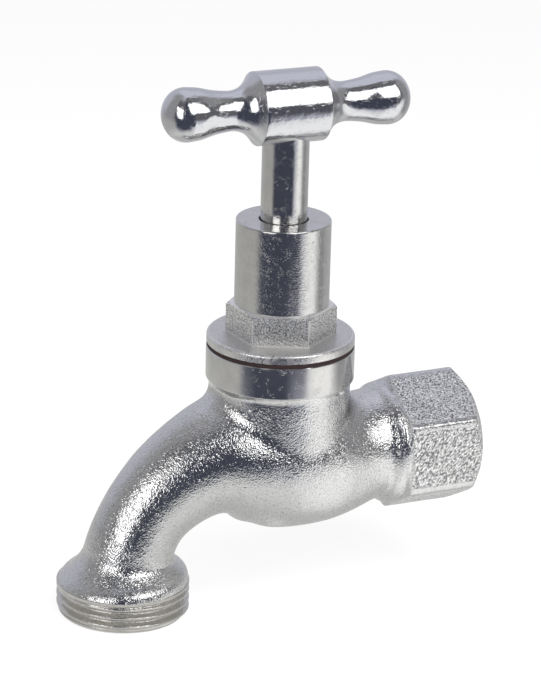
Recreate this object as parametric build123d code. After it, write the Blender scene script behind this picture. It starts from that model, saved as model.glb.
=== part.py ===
from build123d import *
from math import atan2, cos, pi, radians, sin, sqrt
import os

os.makedirs("parts", exist_ok=True)

# Garden tap, in millimetres. The origin is the centre of the inlet mouth,
# +X points out of the inlet, +Z points up along the spindle.
# The sizes below are driving dimensions; the rest is worked out from them.

# Where the main axes run
SPINDLE_X = -40.5
OUTLET_X = SPINDLE_X - 33.2

# Inlet socket
INLET_BORE_R = 9.32
INLET_BORE_DEEP = 13.5
INLET_CHAMFER = 0.5
HEX_FLATS = 25.0
HEX_LONG = 19.8
HEX_EDGE_R = 0.9
HEX_FACE_R = 11.6
HEX_FACE_CONE = 2.3
HEX_BACK_CORNER = 16.2
HEX_BACK_FLAT = 17.1
HEX_BACK_EDGE = ((0.9, 0.15), (1.9, 0.6))
HEX_BACK_R = 10.9
FEED_CONE = 2.4
FEED_CONE_R = 5.0

# Outlet
OUTLET_R = 13.22
OUTLET_BOTTOM = -27.75
OUTLET_SHOULDER = -21.65
OUTLET_BORE_R = 8.5
OUTLET_BORE_DEEP = 8.0
OUTLET_RIM_CHAMFER = 0.4
OUTLET_CONE = 1.0
OUTLET_CONE_R = 6.5

# Collar and bonnet thread of the body
COLLAR_R = 14.8
COLLAR_TOP = 24.05
COLLAR_BOTTOM = 17.25
COLLAR_EDGE_RUN = 0.25
THROAT_R = 14.1
THROAT_BOTTOM = 3.25
CREASE_R = 4.0
HEAD_BORE_R = 11.05
HEAD_BORE_FLOOR = 16.05

# Waterway
CHAMBER_R = 10.2
DECK_TOP = 3.05
SEAT_TOP = 4.25
SEAT_R = 8.0
PORT_R = 6.0
PORT_BALL_Z = -5.95
FEED_R = 5.2
SPOUT_BORE_R = 5.8

# Bonnet
WASHER_THICK = 0.8
WASHER_GAP = 0.3
FLANGE_R = 14.75
FLANGE_THICK = 1.85
FLANGE_EDGE = ((0.0, 0.7), (0.25, 0.2), (0.8, 0.0))
BONNET_HEX_FLATS = 19.2
BONNET_HEX_TOP = 33.05
BONNET_HEX_TURN = -25.0
BONNET_HEX_CONE = 0.95
BARREL_R = 9.42
BARREL_TOP = 50.25
SKIRT_R = 11.0
SKIRT_BOTTOM = 16.75
SKIRT_RECESS_R = 8.9
SKIRT_RECESS_TOP = 19.45
SKIRT_RECESS_CONE = 1.2
NUT_THREAD_R = 6.4
NUT_THREAD_TOP = 32.35
SPINDLE_BORE_R = 4.7
BORE_MOUTH = 0.5

# Spindle, drawn where the photograph shows it: open by 7 mm
SPINDLE_R = 4.63
SCREW_R = 6.3
SCREW_BOTTOM = 16.25
SCREW_TOP = 30.75
SCREW_ENTRY = 0.6
SCREW_RUN_OUT = 0.8
SOCKET_R = 3.2
SOCKET_DEEP = 13.0
SQUARE_SIDE = 6.5
ROUND_TOP = 68.25
SQUARE_TOP = 75.65
RING_HEIGHTS = (42.25, 46.25)
GROOVE_R = 3.45
GROOVE_HALF = 0.8
RING_WIRE_R = 0.62

# Valve that the spindle lets down on the seat
STEM_R = 3.1
STEM_LONG = 11.0
PLATE_R = 8.0
PLATE_THICK = 2.0
RUBBER_R = 7.6
RUBBER_THICK = 3.0
STUD_R = 1.5
VALVE_NUT_FLATS = 5.5
VALVE_NUT_THICK = 1.8

# Tee handle
HANDLE_Z = 73.05
HANDLE_TURN = -2.2
BOSS_R = 7.25
BOSS_HALF = 6.8
BOSS_EDGE = 0.15
ARM_END = 25.7
BULB_X = 21.0
BULB_R = 5.33
BULB_END_R = 5.9
WAIST_R = 3.93
WAIST_X = 12.2
ARM_FLARE = ((0.8, 6.1), (1.6, 5.25), (2.6, 4.53), (3.8, 4.08))
ARM_SWELL = ((15.4, 4.33), (18.4, 5.06))
FLARE_SLOPE = 1.1
SQUARE_FIT = 0.1
SET_SCREW_R = 2.0
SET_SCREW_LONG = 3.6
KEY_SOCKET_R = 1.15
KEY_SOCKET_DEEP = 1.6

# Small breaks on turned edges, running clearance, and how far a cutter overshoots
BREAK = 0.4
CLEAR = 0.05
OVER = 1.0

WASHER_TOP = COLLAR_TOP + WASHER_THICK
FLANGE_TOP = WASHER_TOP + FLANGE_THICK


def upright(radius, low, high, x=SPINDLE_X):
    """A round bar that stands between two heights."""
    return Pos(x, 0, (low + high) / 2) * Cylinder(radius, high - low)


def lathe_up(points, x=SPINDLE_X):
    """A closed outline of (radius, height) points, turned about an upright axis."""
    outline = Polyline(*[(r, 0, z) for r, z in points], close=True)
    return Pos(x, 0, 0) * revolve(make_face(outline), Axis.Z)


def lathe_along(points):
    """A closed outline of (x, radius) points, turned about the X axis."""
    outline = Polyline(*[(x, 0, r) for x, r in points], close=True)
    return revolve(make_face(outline), Axis.X)


def in_plane(points):
    """Points of the middle plane, given from the spindle axis."""
    return [Vector(SPINDLE_X + x, 0, z) for x, z in points]


def station(x, z, radius, lean):
    """A round section of the casting; lean is its direction below the horizontal."""
    normal = Vector(-cos(radians(lean)), 0, -sin(radians(lean)))
    place = Plane(origin=(SPINDLE_X + x, 0, z), x_dir=(0, 1, 0), z_dir=normal)
    return place * Circle(radius)


# Casting: round sections from the inlet neck through the globe to the spout
SECTIONS = (
    (24.5, 0.0, 11.5, 0),
    (20.8, 0.2, 11.2, 4),
    (17.0, -0.2, 11.4, 8),
    (12.0, -0.65, 12.85, 0),
    (6.5, -0.25, 14.2, -8),
    (1.0, 0.5, 14.75, -10),
    (-5.0, 1.4, 14.3, -4),
    (-10.0, 1.7, 13.3, 2),
    (-14.8, 1.15, 11.7, 17),
    (-20.0, -0.8, 10.25, 32),
    (-24.5, -3.85, 9.45, 42),
    (-28.1, -7.55, 8.85, 54),
    (-30.7, -11.85, 8.75, 66),
    (-32.1, -15.95, 8.95, 78),
    (-33.2, -21.75, 9.2, 90),
)
trunk = loft([station(*each) for each in SECTIONS])

# Collar, throat below it, and the outlet with its rounded shoulder
collar = lathe_up(
    [
        (0, COLLAR_TOP),
        (COLLAR_R, COLLAR_TOP),
        (COLLAR_R, COLLAR_BOTTOM + COLLAR_EDGE_RUN),
        (THROAT_R, COLLAR_BOTTOM),
        (THROAT_R, THROAT_BOTTOM),
        (0, THROAT_BOTTOM),
    ]
)
core = trunk + collar
crease = core.edges().sort_by(SortBy.LENGTH)[-1]
core = fillet(crease, CREASE_R)
outlet = upright(OUTLET_R, OUTLET_BOTTOM, OUTLET_SHOULDER, OUTLET_X)
rim = outlet.edges().group_by(Axis.Z)[0]
outlet = chamfer(rim, OUTLET_RIM_CHAMFER)
SHOULDER_SECTIONS = (
    (-33.2, -22.45, 12.9, 90),
    (-33.2, -21.6, 13.06, 91.5),
    (-33.2, -20.85, 13.04, 92.8),
    (-33.2, -20.0, 12.75, 93.5),
    (-33.15, -19.2, 11.9, 93.5),
    (-33.0, -18.45, 10.8, 92.5),
    (-32.8, -17.6, 9.9, 90),
    (-32.4, -16.65, 9.25, 85),
)
shoulder = loft([station(*each) for each in SHOULDER_SECTIONS])

# Inlet hexagon, its corners cut back by cones at both ends
hex_corner_r = HEX_FLATS / sqrt(3)
hex_outline = Plane.YZ * RegularPolygon(hex_corner_r, 6, rotation=90)
inlet_hex = extrude(hex_outline, -HEX_LONG)
inlet_hex = fillet(inlet_hex.edges().filter_by(Axis.X), HEX_EDGE_R)
hex_envelope = lathe_along(
    [
        (0, 0),
        (0, HEX_FACE_R),
        (-HEX_FACE_CONE, hex_corner_r),
        (-HEX_BACK_CORNER, hex_corner_r),
        (-HEX_BACK_FLAT, HEX_FLATS / 2),
        *[(-HEX_BACK_FLAT - back, HEX_FLATS / 2 - drop) for back, drop in HEX_BACK_EDGE],
        (-HEX_LONG, HEX_BACK_R),
        (-HEX_LONG, 0),
    ]
)
inlet_hex = inlet_hex & hex_envelope

body = core + outlet + shoulder + inlet_hex

# Waterway of the body: the feed under the seat, the port up through it,
# and the curved bore from the chamber above it to the outlet
SPOUT_ROUTE = (
    (-2.0, 9.85),
    (-8.5, 8.25),
    (-13.5, 5.25),
    (-18.0, 1.65),
    (-22.0, -1.65),
    (-25.6, -5.15),
    (-28.7, -9.05),
    (-31.0, -13.35),
    (-33.2, -20.75),
)
FEED_ROUTE = ((25.3, 0.0), (0.0, -7.15))
spout_path = Spline(*in_plane(SPOUT_ROUTE))
spout_bore = sweep(Plane(spout_path @ 0, z_dir=spout_path % 0) * Circle(SPOUT_BORE_R), spout_path)
feed_path = Line(*in_plane(FEED_ROUTE))
feed_bore = sweep(Plane(feed_path @ 0, z_dir=feed_path % 0) * Circle(FEED_R), feed_path)
inlet_bore = lathe_along(
    [
        (OVER, 0),
        (OVER, INLET_BORE_R + INLET_CHAMFER + OVER),
        (-INLET_CHAMFER, INLET_BORE_R),
        (-INLET_BORE_DEEP, INLET_BORE_R),
        (-INLET_BORE_DEEP - FEED_CONE, FEED_CONE_R),
        (-INLET_BORE_DEEP - FEED_CONE, 0),
    ]
)
head_bore = upright(HEAD_BORE_R, HEAD_BORE_FLOOR, COLLAR_TOP + OVER)
chamber = upright(CHAMBER_R, DECK_TOP, HEAD_BORE_FLOOR + OVER)
seat = upright(SEAT_R, DECK_TOP - OVER, SEAT_TOP)
port = upright(PORT_R, PORT_BALL_Z, SEAT_TOP + OVER)
port_ball = Pos(SPINDLE_X, 0, PORT_BALL_Z) * Sphere(PORT_R)
outlet_bore_top = OUTLET_BOTTOM + OUTLET_BORE_DEEP
outlet_bore = lathe_up(
    [
        (0, OUTLET_BOTTOM - OVER),
        (OUTLET_BORE_R, OUTLET_BOTTOM - OVER),
        (OUTLET_BORE_R, outlet_bore_top),
        (OUTLET_CONE_R, outlet_bore_top + OUTLET_CONE),
        (0, outlet_bore_top + OUTLET_CONE),
    ],
    OUTLET_X,
)
body = body - (chamber + spout_bore) + seat
body = body - (head_bore + port + port_ball + feed_bore + inlet_bore + outlet_bore)
export_step(body, "parts/body.step")

# Fibre washer under the bonnet
washer = upright(FLANGE_R - CLEAR, COLLAR_TOP, WASHER_TOP)
washer = washer - upright(SKIRT_R + WASHER_GAP, COLLAR_TOP - OVER, WASHER_TOP + OVER)
export_step(washer, "parts/bonnet_washer.step")

# Bonnet: flange, hexagon, barrel and skirt in one turned piece
bonnet_turned = lathe_up(
    [
        (0, SKIRT_BOTTOM),
        (SKIRT_R - BREAK, SKIRT_BOTTOM),
        (SKIRT_R, SKIRT_BOTTOM + BREAK),
        (SKIRT_R, WASHER_TOP),
        (FLANGE_R - BREAK / 3, WASHER_TOP),
        (FLANGE_R, WASHER_TOP + BREAK / 3),
        *[(FLANGE_R - inward, FLANGE_TOP - down) for inward, down in FLANGE_EDGE],
        (BARREL_R, FLANGE_TOP),
        (BARREL_R, BARREL_TOP - BREAK),
        (BARREL_R - BREAK, BARREL_TOP),
        (0, BARREL_TOP),
    ]
)
bonnet_corner_r = BONNET_HEX_FLATS / sqrt(3)
bonnet_hex_foot = FLANGE_TOP - BREAK
bonnet_hex = RegularPolygon(bonnet_corner_r, 6, rotation=BONNET_HEX_TURN)
bonnet_hex = extrude(bonnet_hex, BONNET_HEX_TOP - bonnet_hex_foot)
bonnet_hex = Pos(SPINDLE_X, 0, bonnet_hex_foot) * bonnet_hex
bonnet_hex_envelope = lathe_up(
    [
        (0, bonnet_hex_foot),
        (bonnet_corner_r, bonnet_hex_foot),
        (bonnet_corner_r, BONNET_HEX_TOP - BONNET_HEX_CONE),
        (BONNET_HEX_FLATS / 2, BONNET_HEX_TOP),
        (0, BONNET_HEX_TOP),
    ]
)
bonnet = bonnet_turned + (bonnet_hex & bonnet_hex_envelope)
bonnet = bonnet - lathe_up(
    [
        (0, SKIRT_BOTTOM - OVER),
        (SKIRT_RECESS_R, SKIRT_BOTTOM - OVER),
        (SKIRT_RECESS_R, SKIRT_RECESS_TOP),
        (NUT_THREAD_R, SKIRT_RECESS_TOP + SKIRT_RECESS_CONE),
        (NUT_THREAD_R, NUT_THREAD_TOP),
        (SPINDLE_BORE_R, NUT_THREAD_TOP),
        (SPINDLE_BORE_R, BARREL_TOP - BORE_MOUTH),
        (SPINDLE_BORE_R + BORE_MOUTH, BARREL_TOP),
        (SPINDLE_BORE_R + BORE_MOUTH, BARREL_TOP + OVER),
        (0, BARREL_TOP + OVER),
    ]
)
export_step(bonnet, "parts/bonnet.step")

# Spindle with its screw, seal grooves, square end and stem socket
spindle = lathe_up(
    [
        (0, SCREW_BOTTOM),
        (SCREW_R - SCREW_ENTRY, SCREW_BOTTOM),
        (SCREW_R, SCREW_BOTTOM + SCREW_ENTRY),
        (SCREW_R, SCREW_TOP - SCREW_RUN_OUT),
        (SPINDLE_R + SCREW_RUN_OUT, SCREW_TOP),
        (SPINDLE_R, SCREW_TOP),
        (SPINDLE_R, ROUND_TOP),
        (0, ROUND_TOP),
    ]
)
turned = Pos(SPINDLE_X, 0, 0) * Rot(0, 0, HANDLE_TURN)
square_centre = (ROUND_TOP + SQUARE_TOP) / 2
square_end = Box(SQUARE_SIDE, SQUARE_SIDE, SQUARE_TOP - ROUND_TOP)
spindle = spindle + turned * Pos(0, 0, square_centre) * square_end
spindle = spindle - upright(SOCKET_R, SCREW_BOTTOM - OVER, SCREW_BOTTOM + SOCKET_DEEP)
for height in RING_HEIGHTS:
    groove = upright(SPINDLE_R + OVER, height - GROOVE_HALF, height + GROOVE_HALF)
    spindle = spindle - (groove - upright(GROOVE_R, height - OVER, height + OVER))
export_step(spindle, "parts/spindle.step")

# Two seals in the grooves
RING_NAMES = ("seal_ring_lower", "seal_ring_upper")
for name, height in zip(RING_NAMES, RING_HEIGHTS):
    ring = Pos(SPINDLE_X, 0, height) * Torus(GROOVE_R + RING_WIRE_R, RING_WIRE_R)
    export_step(ring, f"parts/{name}.step")

# Loose valve: stem, plate and the stud that carries the rubber washer
plate_bottom = SCREW_BOTTOM - PLATE_THICK
rubber_bottom = plate_bottom - RUBBER_THICK
nut_bottom = rubber_bottom - VALVE_NUT_THICK
stud_bottom = nut_bottom - BREAK
stem_top = SCREW_BOTTOM + STEM_LONG
valve = lathe_up(
    [
        (0, stud_bottom),
        (STUD_R, stud_bottom),
        (STUD_R, plate_bottom),
        (PLATE_R - BREAK, plate_bottom),
        (PLATE_R, plate_bottom + BREAK),
        (PLATE_R, SCREW_BOTTOM - BREAK),
        (PLATE_R - BREAK, SCREW_BOTTOM),
        (STEM_R, SCREW_BOTTOM),
        (STEM_R, stem_top - BREAK),
        (STEM_R - BREAK, stem_top),
        (0, stem_top),
    ]
)
export_step(valve, "parts/jumper_valve.step")
stud_hole = upright(STUD_R + CLEAR, nut_bottom - OVER, plate_bottom + OVER)
rubber = upright(RUBBER_R, rubber_bottom, plate_bottom) - stud_hole
export_step(rubber, "parts/valve_washer.step")
valve_nut = extrude(RegularPolygon(VALVE_NUT_FLATS / sqrt(3), 6), VALVE_NUT_THICK)
valve_nut = Pos(SPINDLE_X, 0, nut_bottom) * valve_nut - stud_hole
export_step(valve_nut, "parts/valve_nut.step")

# Tee handle: one turned bar with a boss in the middle and a bulb at each end.
# The bulb closes with a ball, and an arc tangent to it meets the bulb's widest place.
arm_outline = Spline(
    (BOSS_HALF, 0, BOSS_R - BOSS_EDGE),
    *[(BOSS_HALF + out, 0, radius) for out, radius in ARM_FLARE],
    (WAIST_X, 0, WAIST_R),
    *[(x, 0, radius) for x, radius in ARM_SWELL],
    (BULB_X, 0, BULB_R),
    tangents=[(1, 0, -FLARE_SLOPE), (1, 0, 0)],
)
end_x = ARM_END - BULB_END_R
side_r = (BULB_END_R**2 - (BULB_X - end_x) ** 2 - BULB_R**2) / 2 / (BULB_END_R - BULB_R)
join_angle = atan2(BULB_R - side_r, BULB_X - end_x)


def on_side(angle):
    """A point of the arc that rounds the bulb's shoulder."""
    return (BULB_X + side_r * cos(angle), 0, BULB_R - side_r + side_r * sin(angle))


def on_end(angle):
    """A point of the ball that closes the bulb."""
    return (end_x + BULB_END_R * cos(angle), 0, BULB_END_R * sin(angle))


arm_edges = [
    Line((0, 0, 0), (0, 0, BOSS_R)),
    Line((0, 0, BOSS_R), (BOSS_HALF - BOSS_EDGE / 2, 0, BOSS_R)),
    Line((BOSS_HALF - BOSS_EDGE / 2, 0, BOSS_R), (BOSS_HALF, 0, BOSS_R - BOSS_EDGE)),
    arm_outline,
    ThreePointArc(on_side(pi / 2), on_side((pi / 2 + join_angle) / 2), on_side(join_angle)),
    ThreePointArc(on_end(join_angle), on_end(join_angle / 2), on_end(0)),
    Line((ARM_END, 0, 0), (0, 0, 0)),
]
half_handle = revolve(make_face(arm_edges), Axis.X)
handle = half_handle + mirror(half_handle, about=Plane.YZ)
handle = turned * Pos(0, 0, HANDLE_Z) * handle
handle = handle - upright(SPINDLE_R + CLEAR, HANDLE_Z - BOSS_R - OVER, ROUND_TOP)
square_hole = Box(SQUARE_SIDE + SQUARE_FIT, SQUARE_SIDE + SQUARE_FIT, SQUARE_TOP - ROUND_TOP + BREAK)
handle = handle - turned * Pos(0, 0, square_centre + BREAK / 2) * square_hole
screw_axis = turned * Pos(0, 0, HANDLE_Z) * Rot(-90, 0, 0)
screw_seat = SQUARE_SIDE / 2
screw_hole = Cylinder(SET_SCREW_R + CLEAR, 2 * BOSS_R)
handle = handle - screw_axis * Pos(0, 0, screw_seat - BREAK / 2 + BOSS_R) * screw_hole
export_step(handle, "parts/tee_handle.step")

# Set screw behind the boss, with a socket for the key
set_screw = Pos(0, 0, screw_seat + SET_SCREW_LONG / 2) * Cylinder(SET_SCREW_R, SET_SCREW_LONG)
key_socket = extrude(RegularPolygon(KEY_SOCKET_R, 6), KEY_SOCKET_DEEP + OVER)
key_socket = Pos(0, 0, screw_seat + SET_SCREW_LONG - KEY_SOCKET_DEEP) * key_socket
export_step(screw_axis * (set_screw - key_socket), "parts/set_screw.step")
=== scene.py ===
"""Garden tap: the looks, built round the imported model."""

import logging
import math
from dataclasses import dataclass, field, replace
from enum import Enum
from typing import Callable, Optional, Union

import bmesh
import bpy
from mathutils import Matrix, Vector, noise

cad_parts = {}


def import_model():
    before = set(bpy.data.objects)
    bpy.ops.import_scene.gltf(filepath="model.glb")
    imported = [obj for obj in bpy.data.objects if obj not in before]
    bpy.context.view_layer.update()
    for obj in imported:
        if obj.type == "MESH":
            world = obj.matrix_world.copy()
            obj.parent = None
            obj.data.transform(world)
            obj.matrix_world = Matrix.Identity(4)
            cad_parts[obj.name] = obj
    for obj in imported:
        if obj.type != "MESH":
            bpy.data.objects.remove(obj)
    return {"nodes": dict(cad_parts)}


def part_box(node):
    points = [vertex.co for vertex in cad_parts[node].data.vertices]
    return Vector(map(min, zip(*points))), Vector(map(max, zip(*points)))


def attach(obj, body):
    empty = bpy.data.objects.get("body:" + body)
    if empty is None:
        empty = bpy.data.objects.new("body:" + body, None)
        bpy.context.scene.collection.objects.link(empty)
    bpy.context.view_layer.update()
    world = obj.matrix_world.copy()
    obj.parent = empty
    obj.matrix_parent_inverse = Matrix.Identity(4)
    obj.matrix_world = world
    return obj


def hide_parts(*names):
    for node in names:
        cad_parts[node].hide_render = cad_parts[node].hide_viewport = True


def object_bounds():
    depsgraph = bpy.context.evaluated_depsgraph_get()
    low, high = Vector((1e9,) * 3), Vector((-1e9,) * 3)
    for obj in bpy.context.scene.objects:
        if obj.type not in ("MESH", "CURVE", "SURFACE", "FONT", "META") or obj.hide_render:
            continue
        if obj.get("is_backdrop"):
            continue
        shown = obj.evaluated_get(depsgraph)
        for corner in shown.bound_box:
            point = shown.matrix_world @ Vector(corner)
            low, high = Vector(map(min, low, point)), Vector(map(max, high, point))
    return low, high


LOG = logging.getLogger("garden_tap")
MM = 0.001
# Steps of a full turn, and the degrees from which an edge stays sharp.
ROUND = 144
CREASE = 32.0
# Points closer than this become one, in a new mesh and after a cut.
WELD = 0.5e-6
CUT_WELD = 1e-6
# Beyond every length in metres and every angle below the horizon in degrees.
FAR = 99.0

Reach = Union[float, Callable[[float, float], float]]
Outline = list[tuple[Reach, float]]
Colour = tuple[float, float, float]
Stretch = tuple[float, float, float]
Point = tuple[float, float]
Range = tuple[float, float]
Window = tuple[float, float, float]
Ramp = tuple[float, float, float, float]
Piece = bpy.types.Object
Socket = bpy.types.NodeSocket


class Axis(Enum):
    """The two directions that a turned piece can run along."""

    UP = "up"
    ALONG = "along"


class Cut(Enum):
    """What a tool does to a piece."""

    TAKE_AWAY = "DIFFERENCE"
    ADD = "UNION"
    KEEP_SHARED = "INTERSECT"


class Maths(Enum):
    """The steps of arithmetic in the materials."""

    ADD = "ADD"
    SUBTRACT = "SUBTRACT"
    MULTIPLY = "MULTIPLY"
    POWER = "POWER"
    ABSOLUTE = "ABSOLUTE"
    MAXIMUM = "MAXIMUM"


# Mesh making


def link_mesh(name: str, bm: bmesh.types.BMesh) -> Piece:
    """Turns a bmesh into an object.

    Args:
        name: the object's name.
        bm: the finished mesh, freed here.

    Returns:
        The new object, linked to the scene.
    """
    mesh = bpy.data.meshes.new(name)
    bm.to_mesh(mesh)
    bm.free()
    piece = bpy.data.objects.new(name, mesh)
    bpy.context.scene.collection.objects.link(piece)
    return piece


def mark_creases(bm: bmesh.types.BMesh, crease: float) -> None:
    """Makes a mesh's faces smooth and its creases sharp.

    Args:
        bm: the mesh.
        crease: edges that turn by more than this many degrees stay sharp.
    """
    limit = math.radians(crease)
    for face in bm.faces:
        face.smooth = True
    for edge in bm.edges:
        edge.smooth = not (edge.is_manifold and edge.calc_face_angle(0.0) > limit)


def keep_mesh(name: str, bm: bmesh.types.BMesh, crease: float = CREASE) -> Piece:
    """Turns a bmesh into an object with smooth faces and crisp creases.

    Args:
        name: the object's name.
        bm: the finished mesh, freed here.
        crease: edges that turn by more than this many degrees stay sharp.

    Returns:
        The new object, linked to the scene.
    """
    bmesh.ops.remove_doubles(bm, verts=bm.verts, dist=WELD)
    bmesh.ops.recalc_face_normals(bm, faces=bm.faces)
    mark_creases(bm, crease)
    return link_mesh(name, bm)


def crisp(piece: Piece, crease: float = CREASE) -> None:
    """Makes a piece's faces smooth again after a cut, with its creases kept sharp.

    Args:
        piece: the piece that was cut.
        crease: edges that turn by more than this many degrees stay sharp.
    """
    bm = bmesh.new()
    bm.from_mesh(piece.data)
    bmesh.ops.remove_doubles(bm, verts=bm.verts, dist=CUT_WELD)
    mark_creases(bm, crease)
    bm.to_mesh(piece.data)
    bm.free()


def join_rings(bm: bmesh.types.BMesh, low: list, high: list) -> None:
    """Fills the band between two rings.

    Args:
        bm: the mesh to add to.
        low: the points of one ring, or a single point.
        high: the points of the other ring, or a single point.
    """
    count = max(len(low), len(high))
    if count == 1:
        return
    for step in range(count):
        after = (step + 1) % count
        pairs = [ring if len(ring) == 1 else [ring[step], ring[after]] for ring in (low, high)]
        bm.faces.new(pairs[0] + pairs[1][::-1])


def add_turned(bm: bmesh.types.BMesh, outline: Outline, place: Matrix, segments: int) -> None:
    """Adds the closed surface that an outline sweeps about its axis.

    Args:
        bm: the mesh to add to.
        outline: (radius, height) points in order, in metres. Radius 0 is on the axis,
            and a radius may be a function of the angle and the height.
        place: where the axis stands, its local Z along the axis.
        segments: how many steps make the full turn.
    """
    rings: list[list[bmesh.types.BMVert]] = []
    for radius, height in outline:
        if radius == 0.0:
            rings.append([bm.verts.new(place @ Vector((0.0, 0.0, height)))])
            continue
        ring = []
        for step in range(segments):
            turn = 2.0 * math.pi * step / segments
            reach = radius(turn, height) if callable(radius) else radius
            spot = Vector((reach * math.cos(turn), reach * math.sin(turn), height))
            ring.append(bm.verts.new(place @ spot))
        rings.append(ring)
    for low, high in zip(rings, rings[1:] + rings[:1]):
        join_rings(bm, low, high)


def braced(outline: Outline, longest: float = 1.2 * MM, inset: float = 0.12 * MM) -> Outline:
    """Adds a ring near each end of a long straight run, so that it mirrors like a true cylinder.

    Args:
        outline: (radius, height) points in order.
        longest: a run up to this long is left alone.
        inset: how far the new rings lie from the run's ends.

    Returns:
        The outline with its new points.
    """
    line: Outline = []
    for start, end in zip(outline, outline[1:] + outline[:1]):
        line.append(start)
        if callable(start[0]) or callable(end[0]) or start[0] == end[0] == 0.0:
            continue
        run = math.dist(start, end)
        if run > longest:
            for share in (inset / run, 1.0 - inset / run):
                line.append(tuple(a + (b - a) * share for a, b in zip(start, end)))
    return line


def axis_place(centre: Vector, axis: Axis) -> Matrix:
    """The frame of a turned piece.

    Args:
        centre: the axis passes through here.
        axis: whether the axis stands up or lies along X.

    Returns:
        The frame, its local Z along the axis.
    """
    if axis is Axis.UP:
        return Matrix.Translation(centre)
    return Matrix.Translation(centre) @ Matrix.Rotation(math.radians(90.0), 4, "Y")


def turned_piece(
    name: str,
    outline: Outline,
    centre: Vector,
    axis: Axis = Axis.UP,
    segments: int = ROUND,
    crease: float = CREASE,
) -> Piece:
    """A turned solid as its own object.

    Args:
        name: the object's name.
        outline: (radius, height) points in order, in metres.
        centre: the axis passes through here, and height 0 is here.
        axis: whether the axis stands up or lies along X.
        segments: how many steps make the full turn.
        crease: edges that turn by more than this many degrees stay sharp.

    Returns:
        The new object.
    """
    bm = bmesh.new()
    add_turned(bm, braced(outline), axis_place(centre, axis), segments)
    return keep_mesh(name, bm, crease)


def hexagon_bar(
    bm: bmesh.types.BMesh, corner_r: float, levels: Range, turn: float, place: Matrix
) -> None:
    """Adds a hexagonal bar.

    Args:
        bm: the mesh to add to.
        corner_r: distance from the axis to a corner.
        levels: heights of its lower and upper end.
        turn: angle of its first corner, in degrees.
        place: where its axis stands.
    """
    rings = []
    for height in levels:
        ring = []
        for side in range(6):
            angle = math.radians(turn + 60.0 * side)
            spot = Vector((corner_r * math.cos(angle), corner_r * math.sin(angle), height))
            ring.append(bm.verts.new(place @ spot))
        rings.append(ring)
    join_rings(bm, *rings)
    bm.faces.new(rings[0][::-1])
    bm.faces.new(rings[1])


def slice_off(bm: bmesh.types.BMesh, point: Vector, normal: Vector) -> None:
    """Removes what lies beyond a plane and closes the cut.

    Args:
        bm: the mesh to cut.
        point: a point on the plane.
        normal: the side that goes.
    """
    parts = list(bm.verts) + list(bm.edges) + list(bm.faces)
    cut = bmesh.ops.bisect_plane(
        bm, geom=parts, plane_co=point, plane_no=normal, clear_outer=True, dist=1e-7
    )
    rim = [part for part in cut["geom_cut"] if isinstance(part, bmesh.types.BMEdge)]
    bmesh.ops.triangle_fill(bm, edges=rim, use_beauty=True, normal=normal)


def apply_modifiers(piece: Piece) -> None:
    """Bakes a piece's modifiers into its mesh.

    Args:
        piece: the piece, which keeps no modifier.
    """
    depsgraph = bpy.context.evaluated_depsgraph_get()
    mesh = bpy.data.meshes.new_from_object(piece.evaluated_get(depsgraph))
    piece.modifiers.clear()
    piece.data = mesh


def combine(piece: Piece, tool: Piece, cut: Cut) -> None:
    """Works on a piece with a tool, which is then removed.

    Args:
        piece: the piece that changes.
        tool: the solid that cuts it or joins it.
        cut: what the tool does.
    """
    step = piece.modifiers.new("combine", "BOOLEAN")
    step.object = tool
    step.operation = cut.value
    step.solver = "EXACT"
    apply_modifiers(piece)
    bpy.data.objects.remove(tool)


# Lines and curves


def arc(centre: Point, radius: float, start: float, end: float, steps: int = 6) -> Outline:
    """Points of a circular arc, its angles in degrees from the first axis."""
    turns = [math.radians(start + (end - start) * k / steps) for k in range(steps + 1)]
    return [(centre[0] + radius * math.cos(t), centre[1] + radius * math.sin(t)) for t in turns]


def smooth_run(points: Outline, steps: int = 8) -> Outline:
    """A smooth line through points, by cubic pieces that share their tangents.

    Args:
        points: the points that it passes through.
        steps: how many steps lie between two of them.

    Returns:
        The points of the line.
    """

    def between(a: float, b: float, c: float, d: float, t: float) -> float:
        """One measure of the point at a share t of the way from b to c."""
        bend, twist = 2 * a - 5 * b + 4 * c - d, 3 * b - a - 3 * c + d
        return 0.5 * (2 * b + (c - a) * t + bend * t**2 + twist * t**3)

    ends = [points[0]] + points + [points[-1]]
    line: Outline = []
    for four in zip(ends, ends[1:], ends[2:], ends[3:]):
        for step in range(steps):
            line.append(tuple(between(*measures, step / steps) for measures in zip(*four)))
    return line + [points[-1]]


def ease(x: float) -> float:
    """A smooth step, from 0 at 0 to 1 at 1."""
    x = min(1.0, max(0.0, x))
    return x * x * (3.0 - 2.0 * x)


def window(value: float, low: float, high: float, edge: float) -> float:
    """1 between two limits and 0 outside them, with soft edges of a given width."""
    return ease((value - low) / edge + 0.5) * ease((high - value) / edge + 0.5)


# Finishes


@dataclass(frozen=True)
class Grain:
    """A noise field.

    Attributes:
        scale: features per metre.
        detail: how many finer layers it has.
        rough: how strong the finer layers are.
        stretch: scale along X, Y and Z, for drawn-out marks.
        turn: how far the marks are turned about Y, in degrees.
    """

    scale: float
    detail: float = 3.0
    rough: float = 0.6
    stretch: Stretch = (1.0, 1.0, 1.0)
    turn: float = 0.0


def shade(colour: Colour, share: float) -> Colour:
    """A colour made darker or brighter, held at white."""
    return tuple(min(1.0, part * share) for part in colour)


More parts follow.
